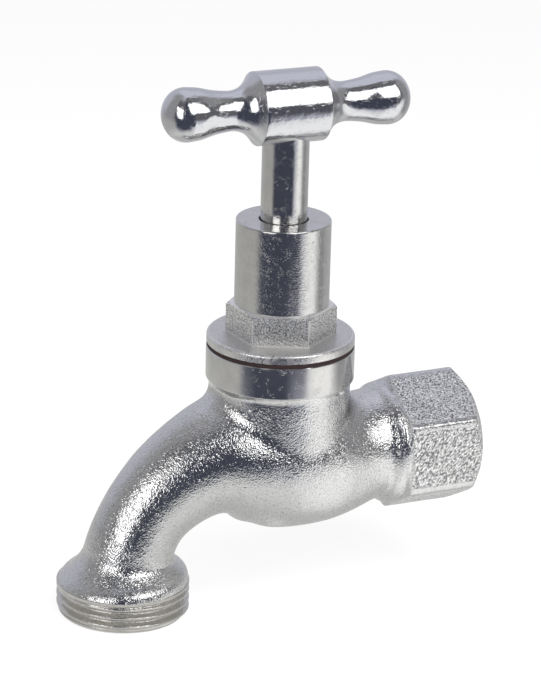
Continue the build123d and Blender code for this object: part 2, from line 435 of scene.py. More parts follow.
class Shader:
    """Adds and joins the nodes of one material."""

    def __init__(self, name: str) -> None:
        """Starts a material with a Principled shader.

        Args:
            name: the material's name.
        """
        self.material = bpy.data.materials.new(name)
        self.material.use_nodes = True
        self.nodes = self.material.node_tree.nodes
        self.links = self.material.node_tree.links
        self.surface = self.nodes["Principled BSDF"]
        self.place = self.nodes.new("ShaderNodeTexCoord").outputs["Object"]

    def join(self, value: object, socket: Socket) -> None:
        """Feeds an input.

        Args:
            value: an output to link, or a plain number or colour to set.
            socket: the input.
        """
        if isinstance(value, Socket):
            self.links.new(value, socket)
        elif isinstance(value, tuple):
            socket.default_value = (*value, 1.0)
        else:
            socket.default_value = value

    def axes(self) -> tuple[Socket, ...]:
        """Splits the place on the piece.

        Returns:
            The sockets of the place along X, Y and Z.
        """
        split = self.nodes.new("ShaderNodeSeparateXYZ")
        self.links.new(self.place, split.inputs[0])
        return tuple(split.outputs)

    def grain(self, kind: Grain) -> Socket:
        """A noise field.

        Args:
            kind: its scale, layers and stretch.

        Returns:
            The noise factor's socket.
        """
        leaning = self.nodes.new("ShaderNodeMapping")
        leaning.inputs["Rotation"].default_value = (0.0, math.radians(kind.turn), 0.0)
        self.links.new(self.place, leaning.inputs["Vector"])
        mapping = self.nodes.new("ShaderNodeMapping")
        mapping.inputs["Scale"].default_value = kind.stretch
        self.links.new(leaning.outputs["Vector"], mapping.inputs["Vector"])
        texture = self.nodes.new("ShaderNodeTexNoise")
        texture.inputs["Scale"].default_value = kind.scale
        texture.inputs["Detail"].default_value = kind.detail
        texture.inputs["Roughness"].default_value = kind.rough
        self.links.new(mapping.outputs["Vector"], texture.inputs["Vector"])
        return texture.outputs["Fac"]

    def winding(self, kind: Grain) -> Socket:
        """Height above thin winding valleys."""
        return self.calc(Maths.ABSOLUTE, self.calc(Maths.SUBTRACT, self.grain(kind), 0.5), 0.0)

    def span(
        self, value: Socket, low: float, high: float, to_low: float = 0.0, to_high: float = 1.0
    ) -> Socket:
        """Carries a value smoothly from one range to another, held inside it.

        Args:
            value: the value.
            low: where its range starts.
            high: where its range ends.
            to_low: the result at the range's start.
            to_high: the result at the range's end.

        Returns:
            The result's socket.
        """
        node = self.nodes.new("ShaderNodeMapRange")
        node.interpolation_type = "SMOOTHSTEP"
        ends = ("From Min", "From Max", "To Min", "To Max")
        for socket, number in zip(ends, (low, high, to_low, to_high)):
            node.inputs[socket].default_value = number
        self.links.new(value, node.inputs["Value"])
        return node.outputs["Result"]

    def calc(self, step: Maths, first: object, second: object) -> Socket:
        """One step of arithmetic.

        Args:
            step: what is done.
            first: a socket or a number.
            second: a socket or a number.

        Returns:
            The result's socket.
        """
        node = self.nodes.new("ShaderNodeMath")
        node.operation = step.value
        self.join(first, node.inputs[0])
        self.join(second, node.inputs[1])
        return node.outputs[0]

    def times(self, first: object, second: object) -> Socket:
        """The product of two values."""
        return self.calc(Maths.MULTIPLY, first, second)

    def reach(self, first: Socket, second: Socket) -> Socket:
        """Distance from an axis, by the places along the other two."""
        squares = [self.calc(Maths.POWER, side, 2.0) for side in (first, second)]
        return self.calc(Maths.POWER, self.calc(Maths.ADD, *squares), 0.5)

    def blend(self, factor: Socket, first: object, second: object) -> Socket:
        """Mixes two colours.

        Args:
            factor: 0 for the first colour, 1 for the second.
            first: a colour or its socket.
            second: a colour or its socket.

        Returns:
            The mixed colour's socket.
        """
        node = self.nodes.new("ShaderNodeMix")
        node.data_type = "RGBA"
        for value, index in ((factor, 0), (first, 6), (second, 7)):
            self.join(value, node.inputs[index])
        return node.outputs[2]

    def bump(self, height: Socket, depth: float, below: Optional[Socket] = None) -> Socket:
        """Relief from a height field.

        Args:
            height: the height, from 0 to 1.
            depth: how far 0 lies below 1, in metres.
            below: an earlier relief that this one lies on.

        Returns:
            The normal's socket.
        """
        node = self.nodes.new("ShaderNodeBump")
        node.inputs["Strength"].default_value = 1.0
        node.inputs["Distance"].default_value = depth
        self.links.new(height, node.inputs["Height"])
        if below is not None:
            self.links.new(below, node.inputs["Normal"])
        return node.outputs["Normal"]

    def finish(
        self, colour: object, rough: object, normal: Optional[Socket] = None, metal: float = 1.0
    ) -> bpy.types.Material:
        """Feeds the surface.

        Args:
            colour: a colour or its socket.
            rough: a roughness or its socket.
            normal: the relief.
            metal: 1 for a metal, 0 for anything else.

        Returns:
            The finished material.
        """
        self.join(colour, self.surface.inputs["Base Color"])
        self.join(rough, self.surface.inputs["Roughness"])
        self.join(metal, self.surface.inputs["Metallic"])
        if normal is not None:
            self.links.new(normal, self.surface.inputs["Normal"])
        return self.material


@dataclass(frozen=True)
class CastPlating:
    """Bright plating over a rough sand casting: a winding skin with painted shade in its valleys,
    and wrinkles on the hexagon with painted shade and painted highlights.

    Attributes:
        name: the material's name.
        colour: the plating.
        skin: the skin's winding valleys.
        relief: depth of the skin, in metres.
        valley_shade_from: the valley heights from painted shade to full colour.
        valley_shade_share: share of the colour in the valleys, where it is painted shade.
        fine: fine grain on the skin.
        fine_share: how much of the skin's depth the fine grain has.
        waves: broad waves under the skin.
        wave_share: how deep the waves are, as a share of the skin's depth.
        rough: the fine grain's range, and the roughness at its ends.
        wrinkles: the wrinkles of the inlet's hexagon, which lean across its flats.
        wrinkle_relief: depth of the wrinkles, in metres.
        wrinkle_from: the noise values between a wrinkle's foot and its ridge.
        wrinkle_shade_to_highlight: the wrinkle heights from painted shade to painted highlight.
        wrinkle_shade_and_highlight: share of the colour at a wrinkle's foot, a painted shade, and
            on its ridge, a painted highlight.
        hexagon: where the hexagon's skin starts along X, in metres.
        edge: how far from the inlet's axis the flats turn into worn edges, in metres.
        bore: how far from that axis the wrinkles start, in metres.
        end_face: where the skin gives way to the machined end face along X, in metres.
        collar: where the skin gives way to machined metal in height, in metres, and how
            much of it is left below and above.
    """

    name: str = "cast_plating"
    colour: Colour = (0.66, 0.66, 0.655)
    skin: Grain = Grain(1900.0, 1.0, 0.5)
    relief: float = 0.17 * MM
    # Painted shade in the skin's valleys.
    valley_shade_from: Range = (0.0, 0.03)
    valley_shade_share: float = 0.52
    fine: Grain = Grain(9500.0, 2.0)
    fine_share: float = 0.015
    waves: Grain = Grain(950.0, 2.0, 0.5)
    wave_share: float = 0.35
    rough: Ramp = (0.35, 0.7, 0.07, 0.13)
    wrinkles: Grain = Grain(3700.0, 1.0, 0.5, (0.42, 1.0, 1.0), 45.0)
    wrinkle_relief: float = 0.22 * MM
    wrinkle_from: Range = (0.3, 0.7)
    # Painted shade and painted highlight of the hexagon's wrinkles.
    wrinkle_shade_to_highlight: Range = (0.12, 0.5)
    wrinkle_shade_and_highlight: Range = (0.36, 1.38)
    hexagon: Range = (-16.6 * MM, -15.8 * MM)
    edge: Range = (13.76 * MM, 13.88 * MM)
    bore: Range = (11.5 * MM, 11.7 * MM)
    end_face: Range = (-0.5 * MM, -0.3 * MM)
    collar: Ramp = (15.2 * MM, 16.4 * MM, 1.0, 0.12)

    def make(self) -> bpy.types.Material:
        """Builds the material.

        Returns:
            The material.
        """
        shader = Shader(self.name)
        x, y, z = shader.axes()
        below_collar = shader.span(z, *self.collar)
        off_end = shader.span(x, *self.end_face, 1.0, 0.0)
        fine = shader.grain(self.fine)
        valley = shader.winding(self.skin)
        height = shader.calc(Maths.ADD, valley, shader.times(fine, self.fine_share))
        relief = shader.bump(shader.times(height, shader.times(below_collar, off_end)), self.relief)
        relief = shader.bump(shader.grain(self.waves), self.relief * self.wave_share, relief)
        on_flats = shader.times(self.on_flats(shader, x, shader.reach(y, z)), off_end)
        wrinkle = shader.span(shader.grain(self.wrinkles), *self.wrinkle_from)
        relief = shader.bump(shader.times(wrinkle, on_flats), self.wrinkle_relief, relief)
        rough = shader.span(fine, *self.rough)
        # Painted shade: the skin's valleys are darkened in the colour.
        shaded_valley = shade(self.colour, self.valley_shade_share)
        tone = shader.blend(shader.span(valley, *self.valley_shade_from), shaded_valley, self.colour)
        # Painted shade at the wrinkles' feet and painted highlights on their ridges, on the
        # hexagon's flats.
        foot, ridge = (shade(self.colour, share) for share in self.wrinkle_shade_and_highlight)
        shaded_wrinkles = shader.blend(shader.span(wrinkle, *self.wrinkle_shade_to_highlight), foot, ridge)
        return shader.finish(shader.blend(on_flats, tone, shaded_wrinkles), rough, relief)

    def on_flats(self, shader: Shader, x: Socket, reach: Socket) -> Socket:
        """1 on the flats of the inlet's hexagon, 0 on its worn edges and elsewhere.

        Args:
            shader: the material being built.
            x: the place along X.
            reach: the distance from the inlet's axis.

        Returns:
            The mask's socket.
        """
        inside = shader.span(reach, *self.edge, 1.0, 0.0)
        flat = shader.times(inside, shader.span(reach, *self.bore))
        return shader.times(shader.span(x, *self.hexagon), flat)


@dataclass(frozen=True)
class TurnedPlating:
    """Bright nickel over lathe marks that run round an axis, with short scratches.

    Attributes:
        name: the material's name.
        colour: the plating.
        rough: its mean roughness.
        marks: stretch of the lathe marks along X, Y and Z.
        relief: depth of the lathe marks, in metres.
        ripple: depth of the small uneven places, in metres.
        scratch: depth of the short scratches, in metres.
        lines: the lathe marks.
        uneven: the small uneven places.
        uneven_stretch: their scale along the marks, and how much finer they are across.
        rough_from: the unevenness where the roughness changes.
        rough_shares: shares of the mean roughness there.
        nicks: the winding lines that the short scratches are parts of.
        nick_wide: how wide a scratch is, in the noise's own values.
        patches: where there are scratches.
        patch_from: the patches' values from none to full scratches.
        blotches: the tone's slow changes.
        blotch_from: the blotches' values from full colour to dull.
        dull: share of the colour where it is dull.
    """

    name: str = "turned_plating"
    colour: Colour = (0.63, 0.625, 0.615)
    rough: float = 0.1
    marks: Stretch = (0.05, 0.05, 1.0)
    relief: float = 0.006 * MM
    ripple: float = 0.03 * MM
    scratch: float = 0.02 * MM
    lines: Grain = Grain(6000.0, 3.0, 0.7)
    uneven: Grain = Grain(2300.0, 2.0, 0.55)
    uneven_stretch: Range = (0.6, 1.2)
    rough_from: Range = (0.35, 0.75)
    rough_shares: Range = (0.75, 1.5)
    nicks: Grain = Grain(1700.0, 1.0, 0.5)
    nick_wide: float = 0.013
    patches: Grain = Grain(700.0, 2.0, 0.5)
    patch_from: Range = (0.52, 0.62)
    blotches: Grain = Grain(320.0, 4.0)
    blotch_from: Range = (0.35, 0.75)
    dull: float = 0.9

    def make(self) -> bpy.types.Material:
        """Builds the material.

        Returns:
            The material.
        """
        shader = Shader(self.name)
        along, finer = self.uneven_stretch
        stretch = tuple(along + finer * mark for mark in self.marks)
        uneven = shader.grain(replace(self.uneven, stretch=stretch))
        patch = shader.span(shader.grain(self.patches), *self.patch_from)
        nick = shader.span(shader.winding(self.nicks), 0.0, self.nick_wide, 1.0, 0.0)
        relief = shader.bump(shader.grain(replace(self.lines, stretch=self.marks)), self.relief)
        relief = shader.bump(uneven, self.ripple, relief)
        relief = shader.bump(shader.times(nick, patch), self.scratch, relief)
        smooth, matt = (self.rough * share for share in self.rough_shares)
        rough = shader.span(uneven, *self.rough_from, smooth, matt)
        blotch = shader.span(shader.grain(self.blotches), *self.blotch_from)
        tone = shader.blend(blotch, self.colour, shade(self.colour, self.dull))
        return shader.finish(tone, rough, relief)


@dataclass(frozen=True)
class PolishedPlating:
    """Polished chrome with fine scratches and a few small dings.

    Attributes:
        name: the material's name.
        colour: the plating.
        rough: the scratches' range, and the roughness at its ends.
        waves: the slight waves that polishing leaves.
        wave: depth of the waves, in metres.
        scratches: the fine scratches.
        scratch_from: the scratches' values from none to full depth.
        scratch: depth of the scratches, in metres.
        dings: the small dings.
        ding_from: the dings' values from full depth to none.
        ding: depth of the dings, in metres.
    """

    name: str = "polished_plating"
    colour: Colour = (0.62, 0.622, 0.635)
    rough: Ramp = (0.45, 0.75, 0.055, 0.165)
    waves: Grain = Grain(800.0)
    wave: float = 0.04 * MM
    scratches: Grain = Grain(2600.0, stretch=(0.25, 1.0, 0.7))
    scratch_from: Range = (0.58, 0.7)
    scratch: float = 0.012 * MM
    dings: Grain = Grain(900.0, 2.0, 0.5)
    ding_from: Range = (0.25, 0.32)
    ding: float = 0.015 * MM

    def make(self) -> bpy.types.Material:
        """Builds the material.

        Returns:
            The material.
        """
        shader = Shader(self.name)
        scratch = shader.grain(self.scratches)
        relief = shader.bump(shader.grain(self.waves), self.wave)
        relief = shader.bump(shader.span(scratch, *self.scratch_from), self.scratch, relief)
        ding = shader.span(shader.grain(self.dings), *self.ding_from)
        relief = shader.bump(ding, self.ding, relief)
        return shader.finish(self.colour, shader.span(scratch, *self.rough), relief)


@dataclass(frozen=True)
class SandyPlating:
    """Plating over a sandy face: light and dark grains, and bright worn edges.

    Attributes:
        name: the material's name.
        axis_x: where the piece's upright axis stands, in metres.
        worn_r: how far from the axis its worn edges lie, in metres.
        worn_heights: below and above these heights the edges are worn, in metres.
        colour: the plating.
        rough: its roughness on the sand, and on the worn edges.
        rough_from: the wear where the roughness changes.
        sand: depth of the sand's grain, in metres.
        contrast: how much darker the dark grains are.
        grains: the sand.
        dark_grain: the sand's values from dark to full colour.
        blotches: what makes the wear uneven.
        wear: the blotches' range, and how strong the wear is at its ends.
        rim_border: how wide the change at a worn corner is, in metres.
        end_border: how wide the change at a worn end is, in metres.
    """

    name: str
    axis_x: float
    worn_r: float
    worn_heights: Range
    colour: Colour = (1.0, 0.99, 0.97)
    rough: Range = (0.42, 0.4)
    rough_from: Range = (0.3, 1.0)
    sand: float = 0.1 * MM
    contrast: float = 0.86
    grains: Grain = Grain(5200.0, 1.5, 0.55)
    dark_grain: Range = (0.38, 0.55)
    blotches: Grain = Grain(500.0)
    wear: Ramp = (0.3, 0.5, 0.25, 0.75)
    rim_border: float = 0.1 * MM
    end_border: float = 0.2 * MM

    def make(self) -> bpy.types.Material:
        """Builds the material.

        Returns:
            The material.
        """
        shader = Shader(self.name)
        sand = shader.grain(self.grains)
        worn = self.worn(shader)
        dark = shade(self.colour, 1.0 - self.contrast)
        tone = shader.blend(shader.span(sand, *self.dark_grain), dark, self.colour)
        tone = shader.blend(worn, tone, self.colour)
        rough = shader.span(worn, *self.rough_from, *self.rough)
        return shader.finish(tone, rough, shader.bump(sand, self.sand))

    def worn(self, shader: Shader) -> Socket:
        """How worn a place is: most on the edges that hands and spanners rub bright.

        Args:
            shader: the material being built.

        Returns:
            The mask's socket.
        """
        x, y, z = shader.axes()
        low, high = self.worn_heights
        reach = shader.reach(shader.calc(Maths.SUBTRACT, x, self.axis_x), y)
        rim = shader.span(reach, self.worn_r, self.worn_r + self.rim_border)
        foot = shader.span(z, low, low + self.end_border, 1.0, 0.0)
        crown = shader.span(z, high - self.end_border, high)
        edge = shader.calc(Maths.MAXIMUM, rim, shader.calc(Maths.MAXIMUM, foot, crown))
        return shader.times(edge, shader.span(shader.grain(self.blotches), *self.wear))


@dataclass(frozen=True)
class PlainFinish:
    """An even finish with fine grain, for rubber, fibre, brass and steel.

    Attributes:
        name: the material's name.
        colour: its colour.
        rough: its roughness.
        metal: 1 for a metal, 0 for anything else.
        specks: its fine grain.
        relief: depth of the grain, in metres.
        speck_from: the grain's values where the tone and the roughness change.
        dark: share of the colour at the lower value.
        rough_shares: shares of the roughness there and at the upper value.
    """

    name: str
    colour: Colour
    rough: float
    metal: float = 0.0
    specks: Grain = Grain(2500.0)
    relief: float = 0.01 * MM
    speck_from: Range = (0.3, 0.7)
    dark: float = 0.8
    rough_shares: Range = (0.85, 1.2)

    def make(self) -> bpy.types.Material:
        """Builds the material.

        Returns:
            The material.
        """
        shader = Shader(self.name)
        speck = shader.grain(self.specks)
        dark = shade(self.colour, self.dark)
        tone = shader.blend(shader.span(speck, *self.speck_from), dark, self.colour)
        smooth, matt = (self.rough * share for share in self.rough_shares)
        rough = shader.span(speck, *self.speck_from, smooth, matt)
        return shader.finish(tone, rough, shader.bump(speck, self.relief), self.metal)


def dress(piece: Piece, material: bpy.types.Material) -> None:
    """Gives a piece one material all over.

    Args:
        piece: the piece.
        material: its finish.
    """
    if not piece.data.materials:
        piece.data.materials.append(material)
    for index in range(len(piece.data.materials)):
        piece.data.materials[index] = material


def settle(piece: Piece, body: str, node: str, material: bpy.types.Material) -> None:
    """Gives a new piece its place in the model.

    Args:
        piece: the piece.
        body: the body that it moves with.
        node: the node that it stands for.
        material: its finish.
    """
    dress(piece, material)
    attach(piece, body)
    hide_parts(node)
    LOG.info("piece %s stands for %s, %d faces", piece.name, node, len(piece.data.polygons))


# Sub-assemblies, their sizes in metres and their angles in degrees


@dataclass
class Places:
    """Where the main axes and faces lie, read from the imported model.

    Attributes:
        nodes: the CAD nodes by name.
        spindle: foot of the spindle's axis.
        outlet: centre of the outlet's rim.
    """

    nodes: dict[str, Piece]
    spindle: Vector = field(init=False)
    outlet: Vector = field(init=False)

    def __post_init__(self) -> None:
        """Reads the axes from the boxes of the turned nodes."""
        low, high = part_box("spindle")
        self.spindle = Vector(((low[0] + high[0]) / 2, (low[1] + high[1]) / 2, 0.0))
        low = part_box("body")[0]
        self.outlet = Vector((low[0] + CastBody.outlet_r, 0.0, low[2]))

    @staticmethod
    def bottom(node: str) -> float:
        """Height of a node's lowest point."""
        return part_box(node)[0][2]

    @staticmethod
    def top(node: str) -> float:
        """Height of a node's highest point."""
        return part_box(node)[1][2]


@dataclass
class SubAssembly:
    """What the sub-assemblies share.

    Attributes:
        places: where the main axes and faces lie.
    """

    places: Places

    def on_spindle(self, name: str, outline: Outline, segments: int = ROUND) -> Piece:
        """Turns a piece about the spindle's axis."""
        return turned_piece(name, outline, self.places.spindle, segments=segments)


@dataclass
class CastBody(SubAssembly):
    """The casting: rough shell, machined collar, hose thread and inlet socket."""

    outlet_r: float = 13.22 * MM
    outlet_bore_r: float = 8.5 * MM
    outlet_chamfer: float = 0.5 * MM
    rim_wide: float = 1.3 * MM
    rim_bevel: float = 0.9 * MM
    rim_slope: float = 0.9
    thread_pitch: float = 1.814 * MM
    thread_depth: float = 1.0 * MM
    thread_flat: float = 0.12
    thread_long: float = 6.1 * MM
    thread_lap: float = 0.35 * MM
    thread_end: float = 0.2 * MM
    thread_fade: float = 0.6 * MM
    thread_rows: int = 96
    thread_crease: float = 50.0
    collar_r: float = 14.8 * MM
    collar_low: float = 17.25 * MM
    collar_edge: float = 0.15 * MM
    collar_round: float = 0.35 * MM
    collar_round_up: float = 0.55 * MM
    throat_r: float = 14.1 * MM
    throat_lip: Range = (0.12 * MM, 0.08 * MM)
    throat_lap: Range = (0.1 * MM, 0.25 * MM)
    head_bore_r: float = 11.05 * MM
    socket_r: float = 9.32 * MM
    socket_deep: float = 13.5 * MM
    socket_wall_r: float = 11.3 * MM
    drill_r: float = 10.9 * MM
    drill_out: float = 1.0 * MM
    drill_steps: int = 96
    socket_edge: float = 0.2 * MM
    socket_end: float = 1.5 * MM
    socket_fade: float = 1.0 * MM
    socket_rows: int = 150
    mouth_deep: float = 0.8 * MM
    mouth_slope: float = 1.2
    voxel: float = 0.3 * MM
    hex_back: float = -18.6 * MM
    hex_border: float = 1.4 * MM
    hex_rounding: int = 3
    under_z: float = -4.0 * MM
    under_border: float = 2.0 * MM
    under_rounding: int = 6
    rounding: int = 40
    rounding_strength: float = 0.5
    shell_top: float = 17.55 * MM
    shell_end: float = -0.06 * MM
    swell: float = 0.07 * MM
    swells: float = 260.0

    def shell(self) -> Piece:
        """Makes the rough casting.

        Returns:
            The shell, open at the machined ends, which have pieces of their own.
        """
        body = self.places.nodes["body"]
        shell = body.copy()
        shell.data = body.data.copy()
        shell.name = "cast_shell"
        shell.parent = None
        bpy.context.scene.collection.objects.link(shell)
        ends = (self.drill_out, -self.socket_deep)
        outline = [(0.0, ends[0]), *((self.drill_r, end) for end in ends), (0.0, ends[1])]
        drill = turned_piece("socket_drill", outline, Vector(), Axis.ALONG, self.drill_steps)
        combine(shell, drill, Cut.TAKE_AWAY)
        remesh = shell.modifiers.new("skin", "REMESH")
        remesh.mode = "VOXEL"
        remesh.voxel_size = self.voxel
        apply_modifiers(shell)
        self.soften(shell)
        self.trim(shell)
        return shell

    def soften(self, shell: Piece) -> None:
        """Rounds the casting's creases as sand leaves them, and the hexagon's much less.

        Args:
            shell: the casting.
        """
        cast = shell.vertex_groups.new(name="rough_casting")
        under = shell.vertex_groups.new(name="hexagon_underside")
        for vert in shell.data.vertices:
            behind = window(vert.co.x, -FAR, self.hex_back, self.hex_border)
            below = window(vert.co.z, -FAR, self.under_z, self.under_border)
            cast.add([vert.index], behind, "REPLACE")
            under.add([vert.index], below, "REPLACE")
        for rounds, group in (
            (self.hex_rounding, ""), (self.under_rounding, under.name), (self.rounding, cast.name)
        ):
            soften = shell.modifiers.new("sand_rounding", "SMOOTH")
            soften.factor = self.rounding_strength
            soften.iterations = rounds
            soften.vertex_group = group
        apply_modifiers(shell)

    def trim(self, shell: Piece) -> None:
        """Cuts the casting where the machined pieces begin, and makes its skin swell a little.

        Args:
            shell: the casting.
        """
        bm = bmesh.new()
        bm.from_mesh(shell.data)
        thread_top = self.places.outlet.z + self.thread_long
        slice_off(bm, Vector((0, 0, self.shell_top)), Vector((0, 0, 1)))
        slice_off(bm, Vector((0, 0, thread_top)), Vector((0, 0, -1)))
        slice_off(bm, Vector((self.shell_end, 0, 0)), Vector((1, 0, 0)))
        for vert in bm.verts:
            vert.co += vert.normal * (noise.noise(vert.co * self.swells) * self.swell)
        for face in bm.faces:
            face.smooth = True
        bm.to_mesh(shell.data)
        bm.free()

    def collar(self) -> Piece:
        """Turns the machined collar under the washer, with the bonnet's threaded hole.

        Returns:
            The collar.
        """
        top, low = Places.bottom("bonnet_washer"), self.collar_low
        rounding = (self.collar_r - self.collar_round, low + self.collar_round_up)
        lip, lap = self.throat_lip, self.throat_lap
        outline = [
            (self.head_bore_r, top),
            (self.collar_r - self.collar_edge, top),
            (self.collar_r, top - self.collar_edge),
            *arc(rounding, self.collar_round, 0, -60),
            (self.throat_r + lip[0], low + lip[1]),
            (self.throat_r - lap[0], low - lap[1]),
            (self.head_bore_r, low - lap[1]),
        ]
        return self.on_spindle("machined_collar", outline)

    def hose_thread(self) -> Piece:
        """Cuts the outlet's screw thread as a real helix, with its rim and bore.

        Returns:
            The thread.
        """
        top, rows = self.thread_long + self.thread_lap, self.thread_rows
        outline: Outline = [(self.thread_radius, top * row / rows) for row in range(rows + 1)]
        outline += [
            (self.outlet_bore_r, top),
            (self.outlet_bore_r, self.outlet_chamfer),
            (self.outlet_bore_r + self.outlet_chamfer, 0.0),
            (self.outlet_r - self.rim_wide, 0.0),
        ]
        return turned_piece("hose_thread", outline, self.places.outlet, crease=self.thread_crease)

    def thread_radius(self, turn: float, height: float) -> float:
        """Radius of the hose thread.

        Args:
            turn: angle about the outlet's axis, in radians.
            height: height above the rim.

        Returns:
            The radius there.
        """
        left = self.thread_long - self.thread_end - height
        rim = min(0.0, height - self.rim_bevel) * self.rim_slope
        groove = self.groove(height / self.thread_pitch + turn / (2.0 * math.pi))
        fade = min(1.0, max(0.0, left / self.thread_fade))
        return min(self.outlet_r - groove * fade, self.outlet_r + rim)

    def groove(self, turns: float) -> float:
        """Depth of a thread's groove after a number of turns, with rounded crests."""
        flank = (abs(2.0 * (turns % 1.0) - 1.0) - self.thread_flat) / (1.0 - 2.0 * self.thread_flat)
        return self.thread_depth * (0.5 - 0.5 * math.cos(math.pi * min(1.0, max(0.0, flank))))

    def socket(self) -> Piece:
        """Cuts the inlet's machined face and its threaded hole.

        Returns:
            The socket.
        """
        deep, rows = self.socket_deep, self.socket_rows
        outline: Outline = [(self.socket_radius, -deep * row / rows) for row in range(rows + 1)]
        outline += [
            (self.socket_wall_r, -deep),
            (self.socket_wall_r, -self.socket_edge),
            (self.socket_wall_r - self.socket_edge, 0.0),
        ]
        return turned_piece(
            "inlet_socket", outline, Vector(), Axis.ALONG, crease=self.thread_crease
        )

    def socket_radius(self, turn: float, height: float) -> float:
        """Radius of the inlet's thread.

        Args:
            turn: angle about the inlet's axis, in radians.
            height: place along it, 0 at the mouth and less inside.

        Returns:
            The radius there.
        """
        left = self.socket_deep - self.socket_end + height
        mouth = max(0.0, self.mouth_deep + height)
        groove = self.groove(-height / self.thread_pitch - turn / (2.0 * math.pi))
        fade = min(1.0, max(0.0, left / self.socket_fade))
        return max(self.socket_r + groove * fade, self.socket_r + mouth * self.mouth_slope)

    def build(self) -> None:
        """Makes, places and dresses every piece of the body."""
        clean = TurnedPlating(
            "collar_plating", rough=0.06, relief=0.0005 * MM, ripple=0.005 * MM, scratch=0.015 * MM
        )
        thread = TurnedPlating(
            "thread_plating", (0.62, 0.605, 0.575), rough=0.16, ripple=0.07 * MM, scratch=0.04 * MM
        )
        along = TurnedPlating("socket_plating", rough=0.2, marks=(1.0, 0.05, 0.05))
        for piece, finish in (
            (self.shell(), CastPlating()),
            (self.collar(), clean),
            (self.hose_thread(), thread),
            (self.socket(), along),
        ):
            settle(piece, "fixed", "body", finish.make())


@dataclass
class Bonnet(SubAssembly):
    """The screwed head: flange, hexagon and barrel, with the fibre washer under it."""

    flange_r: float = 14.75 * MM
    flange_thick: float = 1.85 * MM
    flange_edge: float = 0.12 * MM
    flange_round: float = 0.6 * MM
    flange_in: float = 0.6 * MM
    flange_dip: float = 0.1 * MM
    flange_worn: float = 0.65 * MM
    hex_flats: float = 19.2 * MM
    hex_top: float = 33.05 * MM
    hex_turn: float = -25.0
    hex_edge: float = 0.22 * MM
    hex_lap: float = 0.3 * MM
    hex_crease: float = 14.0
    hex_worn_r: float = 10.94 * MM
    hex_worn_ends: Range = (0.25 * MM, 0.35 * MM)
    cone_deep: float = 1.5 * MM
    cone_lap: float = 0.2 * MM
    cone_out: float = 1.0 * MM
    cone_in: float = 0.05 * MM
    cone_drop: float = 0.02 * MM
    barrel_r: float = 9.42 * MM
    barrel_lap: float = 0.4 * MM
    barrel_round: float = 0.35 * MM
    skirt_r: float = 11.0 * MM
    skirt_edge: float = 0.5 * MM
    recess_r: float = 8.9 * MM
    recess_deep: float = 2.7 * MM
    recess_cone: float = 1.2 * MM
    nut_r: float = 6.42 * MM
    nut_top: float = 32.35 * MM
    bore_r: float = 4.7 * MM
    mouth_r: float = 4.92 * MM
    mouth_edge: float = 0.08 * MM
    mouth_deep: float = 1.4 * MM
    washer_gap: float = 0.3 * MM
    washer_in: float = 0.1 * MM
    washer_edge: float = 0.1 * MM
    round_steps: int = 192

    @property
    def flange_top(self) -> float:
        """Height of the flange's upper face."""
        return Places.top("bonnet_washer") + self.flange_thick

    def flange(self) -> Piece:
        """Turns the flange that presses on the washer, and the skirt that screws into the body.

        Returns:
            The flange.
        """
        low, seat, top = Places.bottom("bonnet"), Places.top("bonnet_washer"), self.flange_top
        rounding = (self.flange_r - self.flange_round, top - self.flange_round)
        outline = [
            (self.skirt_r - self.skirt_edge, low),
            (self.skirt_r, low + self.skirt_edge),
            (self.skirt_r, seat),
            (self.flange_r - self.flange_edge, seat),
            (self.flange_r, seat + self.flange_edge),
            *arc(rounding, self.flange_round, 0, 90, steps=8),
            (self.barrel_r - self.flange_in, top),
            (self.nut_r, top - self.flange_dip),
            (self.nut_r, low + self.recess_deep + self.recess_cone),
            (self.recess_r, low + self.recess_deep),
            (self.recess_r, low),
        ]
        return self.on_spindle("bonnet_flange", outline)

    def barrel(self) -> Piece:
        """Turns the bright barrel round the spindle's hole.

        Returns:
            The barrel.
        """
        top, low = Places.top("bonnet"), self.flange_top - self.barrel_lap
        rounding = (self.barrel_r - self.barrel_round, top - self.barrel_round)
        outline = [
            (self.nut_r, self.nut_top),
            (self.nut_r, low),
            (self.barrel_r, low),
            *arc(rounding, self.barrel_round, 0, 90),
            (self.mouth_r + self.mouth_edge, top),
            (self.mouth_r, top - self.mouth_edge),
            (self.mouth_r, top - self.mouth_deep),
            (self.bore_r, top - self.mouth_deep),
            (self.bore_r, self.nut_top),
        ]
        return self.on_spindle("bonnet_barrel", outline, self.round_steps)

    def hexagon(self) -> Piece:
        """Cuts the spanner hexagon, its top corners taken back by a cone.

        Returns:
            The hexagon.
        """
        low, top, corner_r = self.flange_top, self.hex_top, self.hex_flats / math.sqrt(3.0)
        bm = bmesh.new()
        place = Matrix.Translation(self.places.spindle)
        hexagon_bar(bm, corner_r, (low - self.hex_lap, top), self.hex_turn, place)
        upright = [e for e in bm.edges if abs(e.verts[0].co.z - e.verts[1].co.z) > self.hex_lap]
        bmesh.ops.bevel(
            bm, geom=upright, offset=self.hex_edge, segments=3, affect="EDGES", profile=0.5
        )
        hexagon = keep_mesh("bonnet_hexagon", bm)
        inner_r, outer_r = self.barrel_r - self.hex_lap, corner_r + self.cone_out
        outline = [
            (inner_r, low - self.cone_lap),
            (outer_r, low - self.cone_lap),
            (outer_r, top - self.cone_deep),
            (self.hex_flats / 2 - self.cone_in, top - self.cone_drop),
            (inner_r, top - self.cone_drop),
        ]
        combine(hexagon, self.on_spindle("cone", outline, self.round_steps), Cut.KEEP_SHARED)
        crisp(hexagon, self.hex_crease)
        return hexagon

    def washer(self) -> Piece:
        """Cuts the thin fibre washer.

        Returns:
            The washer.
        """
        low, top = Places.bottom("bonnet_washer"), Places.top("bonnet_washer")
        inner_r, outer_r = self.skirt_r + self.washer_gap, self.flange_r - self.washer_in
        edge = self.washer_edge
        outline = [
            (inner_r, low),
            (outer_r - edge, low),
            (outer_r, low + edge),
            (outer_r, top - edge),
            (outer_r - edge, top),
            (inner_r, top),
        ]
        return self.on_spindle("fibre_washer", outline)

